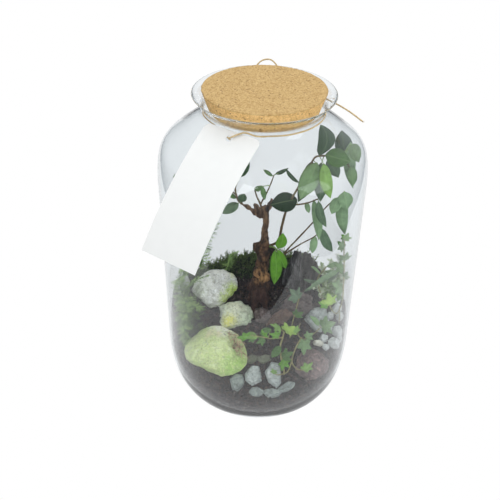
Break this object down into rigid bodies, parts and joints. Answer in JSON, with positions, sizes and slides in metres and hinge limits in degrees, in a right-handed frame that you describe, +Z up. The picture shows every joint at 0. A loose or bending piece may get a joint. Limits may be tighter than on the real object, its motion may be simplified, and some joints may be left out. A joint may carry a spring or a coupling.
{
  "type": "planted glass terrarium jar",
  "caption": "Tall cork-stoppered glass jar with a blank tag on jute twine, planted with a small ficus, ivy, fern and moss in dark soil with boulders and slate chips.",
  "frame": {"origin": "middle of the jar's flat foot, on the surface that it stands on", "axes": "+Z up the jar's axis, -Y towards the front that the tag hangs on, +X to the right seen from the front"},
  "size_m": [0.1752, 0.211, 0.301],
  "materials": {
    "glass": "clear",
    "cork": "granular pressed cork",
    "jute": "twisted plant fibre",
    "card": "matt white card",
    "earth": "crumbly dark potting soil",
    "moss": "soft living moss",
    "mossy_stone": "stone with an algae film",
    "slate": "dry slate",
    "brown_stone": "rough brown stone",
    "bark": "weathered dark bark",
    "wood": "living ficus wood",
    "ficus_leaf": "glossy leaf",
    "ivy_leaf": "satin leaf",
    "fern": "matt needles"
  },
  "bodies": {
    "root": {"jar": "glass", "cork": "cork", "twine": "jute", "tag": "card", "soil": "earth", "moss_bank": "moss", "moss_left": "moss", "boulder_lime": "mossy_stone", "boulder_pale": "mossy_stone", "boulder_grey": "mossy_stone", "boulder_small": "mossy_stone", "pebble_brown": "brown_stone", "rock_root": "brown_stone", "rock_brown": "brown_stone", "rock_wedge": "brown_stone", "gravel_1": "slate", "gravel_2": "slate", "gravel_3": "slate", "gravel_4": "slate", "gravel_5": "slate", "slate_right": "slate", "chip_1": "slate", "chip_2": "slate", "chip_3": "slate", "chip_4": "slate", "chip_5": "slate", "chip_6": "slate", "chip_7": "brown_stone", "chip_8": "brown_stone", "bark": "bark", "ficus_trunk": "wood", "ficus_right": "ficus_leaf", "ficus_middle": "ficus_leaf", "ficus_low": "ficus_leaf", "ficus_top": "ficus_leaf", "ficus_left": "ficus_leaf", "ivy_front": "ivy_leaf", "ivy_middle": "ivy_leaf", "ivy_right": "ivy_leaf", "ivy_star": "ivy_leaf", "ivy_narrow": "ivy_leaf", "fern_tall": "fern", "fern_behind": "fern", "fern_front": "fern", "fern_low": "fern", "fern_sprig": "fern"}
  },
  "joints": []
}
